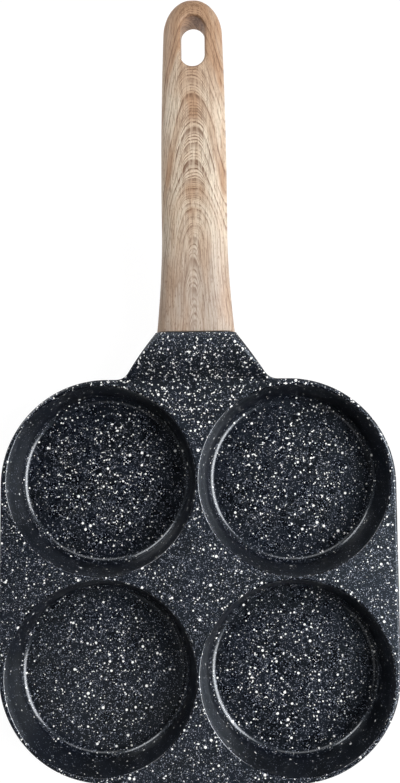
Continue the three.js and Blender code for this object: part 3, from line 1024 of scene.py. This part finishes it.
# Values kept for each point, and the slopes and places at which they change
SPRAY_AND_SHADE = "spray_and_shade"
RIM = "rim"
WALL = "wall"
GLAZED = "glazed"
RIM_REACH = 1.2
FOOT_REACH = 1.05
FOOT_STEEP = 0.5
TILTED = 0.99
WALL_STEEP = 0.3
WALL_SLOPING = 0.7
SPRAY_AWAY = -0.4
SPRAY_UPRIGHT = 0.05
SPRAY_STEEP = 0.3
SPRAY_LEVEL = 0.8
SPRAY_LEAST = 0.08
SPRAY_WALL = 0.24
# Share by which a cup's wall thins the specks on the floor beside it: partly real shelter from the spray,
# partly painted shade.
SPRAY_SHELTER_AND_SHADE = 0.35
SPRAY_OPEN = 0.55


def store_coating(piece):
    """Keeps, for each point, how much speckling it caught, less painted shade beside the cup walls, and how
    far it is rim, wall or glazed round.

    Speckling is full where a surface faces up, a part of it on walls and least below. On a cup floor beside
    its wall the specks thin out: partly the wall's real shelter from the spray, partly painted shade of the
    wall.
    The rims and the lower part of the fillets round the cup floors are glazed.
    """
    upward = read_points(piece, "normal")[:, 2]
    x, y, z = (read_points(piece, "co") / MM - DECK_MIDDLE).T
    reach = np.hypot(np.abs(x) - CUP_OFFSET, np.abs(y) - CUP_OFFSET) / CUP_FLOOR_RADIUS
    low_in_cup = z < CUP_FLOOR_Z + CUP_FLOOR_FILLET
    tilted = upward < TILTED
    on_walls = (SPRAY_WALL - SPRAY_LEAST) * smooth_step(upward, SPRAY_AWAY, SPRAY_UPRIGHT)
    on_top = (1 - SPRAY_WALL) * smooth_step(upward, SPRAY_STEEP, SPRAY_LEVEL)
    # Fewer specks on the floor beside a cup's wall: partly real shelter from the spray, partly painted
    # shade.
    sheltered_and_shaded = SPRAY_SHELTER_AND_SHADE * smooth_step(reach, SPRAY_OPEN, 1) * ((reach < 1) & low_in_cup)
    from_rim = np.abs(reach * CUP_FLOOR_RADIUS - CUP_MOUTH_RADIUS - CUP_RIM_ROUND / 2)
    on_rim = (from_rim < RIM_REACH) & (z > DECK_TOP - RIM_REACH) & tilted
    in_fillet = (reach < FOOT_REACH) & low_in_cup & (upward > FOOT_STEEP) & tilted
    keep_values(piece, SPRAY_AND_SHADE, (SPRAY_LEAST + on_walls + on_top) * (1 - sheltered_and_shaded))
    keep_values(piece, RIM, on_rim)
    keep_values(piece, GLAZED, on_rim | in_fillet)
    keep_values(piece, WALL, 1 - smooth_step(upward, WALL_STEEP, WALL_SLOPING))


def specks(place, spacing, radius, share):
    """Specks scattered in space about a spacing apart, a share of them kept, each of its own size and tone.

    A place is in a speck where its distance to the nearest scattered point is less than the speck's radius,
    which is about the given one and more often small than large. Gives how far in a speck a place is, and
    the speck's tone.
    """
    cells = place.looks.add("TexVoronoi", {"Vector": place, "Scale": 1 / (spacing * MM)})
    own = place.looks.add("TexWhiteNoise", {"Vector": cells["Color"]})["Color"]
    chance = place.looks.add("SeparateColor", {"Color": own})
    unit = radius / spacing
    size = (chance["Green"] ** SPECK_SKEW).spread(0, 1, SPECK_LEAST * unit, SPECK_MOST * unit)
    inside = (size - cells["Distance"]).fade(0, SPECK_SOFT * unit)
    return inside * chance["Red"].math("LESS_THAN", share), chance["Blue"]


def flecks(place, limit, spray_and_shade):
    """Flecks of no set shape: where a noise passes a limit, which rises where less speckling was caught and
    where painted shade lies beside the cup walls.
    """
    value = place.noise(1 / (FLECK_SIZE * MM), COARSE_DETAIL)
    return (value - (limit + spray_and_shade.spread(0, 1, FLECK_HIDDEN, 0.0))).fade(0, FLECK_SOFT)


def up_neck(along, on_deck, at_root, at_end):
    """A value that changes behind the cups up to the neck's root, and again up to the neck's end."""
    start, root, end = [(DECK_MIDDLE_Y + y) * MM for y in (NECK_SPECKS_START, DECK_HALF, JOINT_Y)]
    return along.fade(start, root, on_deck, at_root) + along.fade(root, end, 0.0, at_end - at_root)


def coating_material():
    """A dark satin coating: mottled blue-black, with a mist of specks, dots, chips and an orange peel.

    It is smoother in the cups and on their rims and rougher on walls. A thin glaze lies over it, which is
    full on the rims and the floor fillets.
    """
    looks = Looks(bpy.data.materials.new("speckled_coating"))
    place = looks.add("TexCoord")["Object"]
    along, up = place.parts()[1:]
    spray_and_shade = looks.stored(SPRAY_AND_SHADE)
    white = colour(SPECK_WHITE)

    # The mist thickens up the neck to its end as a painted sheen there.
    mist, mist_tone = specks(place, MIST_SPACING, MIST_RADIUS, spray_and_shade * up_neck(along, *MIST_AND_SHEEN_SHARES))
    ragged = place.shaken(1 / (RAGGED_SIZE * MM), RAGGED_MOVE * MM)
    dots, dot_tone = specks(ragged, DOT_SPACING, DOT_RADIUS, spray_and_shade)
    chips = specks(ragged, CHIP_SPACING, CHIP_RADIUS, spray_and_shade)[0]
    chips = chips.math("MAXIMUM", flecks(place, up_neck(along, *FLECK_LIMITS), spray_and_shade))

    ground = place.noise(1 / (MOTTLE_SIZE * MM), GROUND_DETAIL)
    body = ground.fade(*MOTTLES).blend(colour(COAT_DEEP), colour(COAT_PALE))
    body = mist.blend(body, mist_tone.blend(colour(MIST_DEEP), colour(MIST_PALE)))
    body = dots.blend(body, dot_tone.fade(*DOT_GREYS).blend(colour(SPECK_GREY), white))
    body = chips.blend(body, white)

    height = chips.math("MAXIMUM", dots) + place.noise(1 / (PEEL_SIZE * MM))
    rough = place.noise(1 / (CLOUD_SIZE * MM), GROUND_DETAIL).spread(*CLOUD_ROUGHNESS)
    rough = rough - up.fade(CUP_FLOOR_Z * MM, DECK_TOP * MM, SMOOTHER_IN_CUPS, 0.0)
    rough = rough - looks.stored(RIM) * SMOOTHER_ON_RIMS + looks.stored(WALL) * ROUGHER_ON_WALLS
    return looks.surface(
        Base_Color=body,
        Roughness=rough,
        IOR=COAT_IOR,
        Specular_Tint=COAT_TINT,
        Normal=height.relief(PEEL_STRENGTH, PEEL_DEPTH),
        Coat_Weight=looks.stored(GLAZED).spread(*GLAZE_WEIGHTS),
        Coat_Roughness=GLAZE_ROUGHNESS,
    )


# The wood-effect finish, sizes in millimetres, ranges as low, high, value at low and value at high

WOOD_PALE = "#e1d3be"
WOOD_LOW = "#bfb1a3"
WOOD_MID = "#b29072"
WOOD_DARK = "#6a4932"
WOOD_ROUGHNESS = (0.3, 0.7, 0.45, 0.58)
GRAIN_PLACE = "grain_place"
GRAIN_WANDER = 24.0
GRAIN_WANDER_MOVE = 2.8
GRAIN_STRENGTH = 0.35
GRAIN_DEPTH = 0.05

RING_RISE = 0.05
RING_STEEPENING = 0.0004
RING_TILT = 0.35
RING_LEVEL = 8.5
SIDE_RINGS = 0.85
UNEVEN_RATE = 0.5
UNEVEN_MOVE = 0.9
FRAY_DRAW = 0.5
FRAY_SIZE = 2.6
FRAY_MOVES = (0.0, 1.0, -0.7, 0.7)
CROWN_CURVE = 2.6
CROWN_WIDTHS = (42.0, 75.0, 5.0, 10.5)

LINE_RISE = (0.4, 0.85)
LINE_FALL = (0.86, 1.0, 1.0, 0.0)
LINE_STRENGTHS = (0.0, 1.0, 0.45, 1.0)
LINES_ACROSS = (3.0, 9.0, 0.7, 0.75)
LINES_ALONG = (30.0, 70.0, 0.78, 1.0)
LINE_DARKNESS = 1.4
LINE_RELIEF = 0.5
FINE_RINGS = 5.0
FINE_HALF = 0.5
FINE_RISE = (0.15, 0.5)
FINE_STRENGTHS = (0.0, 1.0, 0.35, 1.0)
FINE_ACROSS = (4.0, 11.0, 0.85, 0.4)
STROKE_DRAW = 0.08
STROKE_RATE = 1.0
STROKES = (0.32, 0.6, 0.25, 1.0)

STREAK_DRAW = 0.04
STREAK_RATE = 2.6
STREAK_DETAIL = 3.0
STREAK_ROUGHNESS = 0.6
STREAKS = (0.45, 0.75, 0.0, 0.58)
PORE_DRAW = 0.13
PORE_RATE = 3.4
PORES = (0.6, 0.7, 0.0, 0.6)
TONE_DRAW = 0.2
TONE_RATE = 0.16
TONES = (0.35, 0.65, 0.0, 0.5)
BAND_LEVEL = 3.0
BAND_RINGS = 3.0
BANDS = (0.45, 0.65)
BANDS_ALONG = (40.0, 65.0, 0.1, 0.5)
TIP_TONE = (105.0, 150.0, 0.0, 0.8)
LOW_PART = (15.0, 65.0)


def store_grain_place(piece):
    """Keeps, for each point, its place in the straightened handle in millimetres: across, along and up."""
    places = read_points(piece, "co") / MM
    along = places[:, 1] - DECK_MIDDLE_Y - JOINT_Y
    straight = np.stack([places[:, 0], along, places[:, 2] - handle_centre(along)], axis=1)
    keep_values(piece, GRAIN_PLACE, straight, "FLOAT_VECTOR", "vector")


def ring_number(place):
    """The growth ring a place lies in.

    Across the handle the number grows as the power root of the powers of the distance and of the crown's
    half width, and along it faster towards the tip, so that a ring is an arch with long legs. A slow wander
    moves the places, a finer one frays the crowns, and a noise makes the rings uneven.
    """
    across, along, up = place.shaken(1 / GRAIN_WANDER, GRAIN_WANDER_MOVE).parts()
    along = along + place.drawn(FRAY_DRAW).noise(1 / FRAY_SIZE).spread(*FRAY_MOVES)
    across = across + (up - RING_LEVEL) * RING_TILT
    powers = across.math("ABSOLUTE") ** CROWN_CURVE + along.fade(*CROWN_WIDTHS) ** CROWN_CURVE
    ring = powers ** (1 / CROWN_CURVE) * SIDE_RINGS + along * (along * RING_STEEPENING + RING_RISE)
    uneven = place.looks.add("CombineXYZ", {"X": ring})[0].noise(UNEVEN_RATE)
    return ring + uneven * UNEVEN_MOVE


def ring_lines(ring, place):
    """Dark lines of the rings with fine lines between, each of its own strength and broken into strokes.

    A ring's line darkens slowly and ends abruptly. The fine lines are strongest along the handle's middle.
    """
    from_middle = place.parts()[0].math("ABSOLUTE")
    phase = ring.math("FRACT")
    line = phase.fade(*LINE_RISE) * phase.fade(*LINE_FALL)
    line = line * ring.own_value().spread(*LINE_STRENGTHS) * from_middle.fade(*LINES_ACROSS)
    count = ring * FINE_RINGS
    fine = count.math("PINGPONG", FINE_HALF).fade(*FINE_RISE)
    fine = fine * count.own_value().spread(*FINE_STRENGTHS) * from_middle.fade(*FINE_ACROSS)
    strokes = place.drawn(STROKE_DRAW).noise(STROKE_RATE)
    return line.math("MAXIMUM", fine) * strokes.fade(*STROKES)


def wood_material():
    """Pale wood: growth rings arched along the middle with long legs at the sides, streaks and pores."""
    looks = Looks(bpy.data.materials.new("wood_effect"))
    place = looks.stored(GRAIN_PLACE, "Vector")
    along = place.parts()[1]
    ring = ring_number(place)
    line = ring_lines(ring, place) * along.fade(*LINES_ALONG)
    streak = place.drawn(STREAK_DRAW).noise(STREAK_RATE, STREAK_DETAIL, STREAK_ROUGHNESS)
    pores = place.drawn(PORE_DRAW).noise(PORE_RATE, COARSE_DETAIL)
    slow = place.drawn(TONE_DRAW).noise(TONE_RATE)
    in_bands = looks.add("CombineXYZ", {"X": ring, "Z": BAND_LEVEL})[0].noise(1 / BAND_RINGS, COARSE_DETAIL)
    tone = along.fade(*TIP_TONE) + slow.fade(*TONES) + in_bands.fade(*BANDS) * along.fade(*BANDS_ALONG)
    pale = along.fade(*LOW_PART).blend(colour(WOOD_LOW), colour(WOOD_PALE))
    body = tone.blend(pale, colour(WOOD_MID))
    for share in (line * LINE_DARKNESS, streak.fade(*STREAKS), pores.fade(*PORES)):
        body = share.blend(body, colour(WOOD_DARK))
    relief = (line * LINE_RELIEF + streak).relief(GRAIN_STRENGTH, GRAIN_DEPTH)
    return looks.surface(Base_Color=body, Roughness=streak.spread(*WOOD_ROUGHNESS), Normal=relief)


# Bare metal: pale and dark tone, smear of the scratches and roughness

STEELS = {
    "disc_steel": ("#c9cbcd", "#8e9194", (1.0, 1.0, 1.0), 0.34),
    "screw_steel": ("#c4c6c9", "#94979b", (1.0, 1.0, 0.1), 0.28),
    "spring_steel": ("#85868a", "#56575b", (1.0, 1.0, 0.1), 0.4),
    "washer_steel": ("#bdbfc2", "#8a8d91", (1.0, 1.0, 0.1), 0.33),
}
SCRATCH_SIZE = 0.4
SCRATCH_DETAIL = 4.0
SCRATCH_ROUGHNESS = 0.6
SCRATCH_TONE = (0.35, 0.65, 0.0, 0.6)
SCRATCH_RANGE = (0.3, 0.7)
SCRATCH_STRENGTH = 0.3
SCRATCH_DEPTH = 0.01
TARNISH_SIZE = 9.0
TARNISH_TONE = (0.3, 0.7, 0.0, 0.4)
STEEL_SMOOTHER = 0.06
STEEL_ROUGHER = 0.08


def steel_material(name):
    """Bare metal: two tones drawn out along the scratches, which a smear stretches in each direction."""
    pale, dark, smear, roughness = STEELS[name]
    looks = Looks(bpy.data.materials.new(name))
    place = looks.add("TexCoord")["Object"]
    smeared = place.vector_math("MULTIPLY", smear)
    scratch = smeared.noise(1 / (SCRATCH_SIZE * MM), SCRATCH_DETAIL, SCRATCH_ROUGHNESS)
    tarnish = place.noise(1 / (TARNISH_SIZE * MM), GROUND_DETAIL)
    tone = scratch.fade(*SCRATCH_TONE) + tarnish.fade(*TARNISH_TONE)
    return looks.surface(
        Base_Color=tone.blend(colour(pale), colour(dark)),
        Metallic=1.0,
        Roughness=scratch.spread(*SCRATCH_RANGE, roughness - STEEL_SMOOTHER, roughness + STEEL_ROUGHER),
        Normal=scratch.relief(SCRATCH_STRENGTH, SCRATCH_DEPTH),
    )


# Stage and light, sizes and places in metres

FLOOR_HALF = 4.0
FLOOR_BELOW = 0.0003
FLOOR_SHADE = 0.1
FLOOR_WHITE = 1.06
FLOOR_PALE = (0.95, 0.95, 0.95, 1.0)

SKY_DIM = 0.035
SKY_TOP = 0.045
SKY_RIGHT = 0.8
SKY_LEFT = 0.28
RIGHT_SIDE = (0.4, 0.95)
LEFT_SIDE = (-0.95, -0.4)
NEAR_HORIZON = (0.15, 0.6, 1.0, 0.0)
OVERHEAD = (0.4, 1.0)

AIM_HEIGHT = 0.02

# Place, width and height, and power in watts of each lamp
LAMPS = {
    "right_softbox": ((0.6, -0.12, 0.62), (0.75, 0.5), 9.3),
    "right_strip": ((0.55, -0.1, 0.58), (0.5, 0.05), 1.0),
    "rear_softbox": ((0.0, 0.45, 0.75), (0.6, 0.3), 1.25),
    "rear_left_softbox": ((-0.6, 0.5, 0.36), (0.45, 0.3), 2.4),
    "front_left_softbox": ((-0.25, -0.45, 0.8), (0.4, 0.4), 0.22),
}


def make_floor():
    """A pale floor just under the pan, seen as white apart from a share that shows the shadow."""
    corners = np.array([[-1, -1], [1, -1], [1, 1], [-1, 1]]) * FLOOR_HALF
    corners = np.concatenate([corners, np.full((4, 1), -FLOOR_BELOW)], axis=1)
    mesh = bpy.data.meshes.new("floor")
    mesh.from_pydata(corners, [], [[0, 1, 2, 3]])
    floor = bpy.data.objects.new("floor", mesh)
    bpy.context.scene.collection.objects.link(floor)
    looks = Looks(bpy.data.materials.new("floor"))
    path = looks.add("LightPath")
    seen = path["Is Camera Ray"].math("MAXIMUM", path["Is Glossy Ray"])
    seen = seen.math("MAXIMUM", path["Is Transmission Ray"])
    lit = looks.add("BsdfDiffuse", {"Color": FLOOR_PALE})[0]
    white = looks.add("Emission", {"Color": WHITE, "Strength": FLOOR_WHITE})[0]
    mixed = looks.add("MixShader", {0: seen * (1 - FLOOR_SHADE), 1: lit, 2: white})[0]
    looks.add("OutputMaterial", {"Surface": mixed})
    mesh.materials.append(looks.holder)


def make_sky():
    """A soft studio all round: brightest low on the right, less low on the left, dim elsewhere."""
    world = bpy.data.worlds.new("studio")
    bpy.context.scene.world = world
    looks = Looks(world)
    x, z = looks.add("TexCoord")["Generated"].parts()[::2]
    sides = x.fade(*RIGHT_SIDE, 0.0, SKY_RIGHT - SKY_DIM) + x.fade(*LEFT_SIDE, SKY_LEFT - SKY_DIM, 0.0)
    level = sides * z.fade(*NEAR_HORIZON) + z.fade(*OVERHEAD, SKY_DIM, SKY_TOP)
    looks.add("OutputWorld", {"Surface": looks.add("Background", {"Color": WHITE, "Strength": level})[0]})


def make_lights():
    """Lamps facing the pan: a wide and a narrow one on the right, two at the rear, a dim one in front."""
    pan = Vector((0.0, DECK_MIDDLE_Y * MM, AIM_HEIGHT))
    for name, (place, size, power) in LAMPS.items():
        lamp = bpy.data.lights.new(name, "AREA")
        lamp.shape = "RECTANGLE"
        lamp.size, lamp.size_y = size
        lamp.energy = power
        held = bpy.data.objects.new(name, lamp)
        held.location = place
        held.rotation_euler = (pan - Vector(place)).to_track_quat("-Z", "Y").to_euler()
        bpy.context.scene.collection.objects.link(held)


make_camera()
casting = make_casting()
store_coating(casting)
dress(casting, coating_material())
handle = make_handle()
store_grain_place(handle)
dress(handle, wood_material())
discs = [make_disc(name) for name in DISCS]
disc_steel = steel_material("disc_steel")
for disc in discs:
    dress(disc, disc_steel)
dress(make_screw(), steel_material("screw_steel"))
dress(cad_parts["spring_washer"], steel_material("spring_steel"))
dress(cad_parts["flat_washer"], steel_material("washer_steel"))
make_floor()
make_sky()
make_lights()

bpy.context.scene.view_settings.view_transform = "Standard"
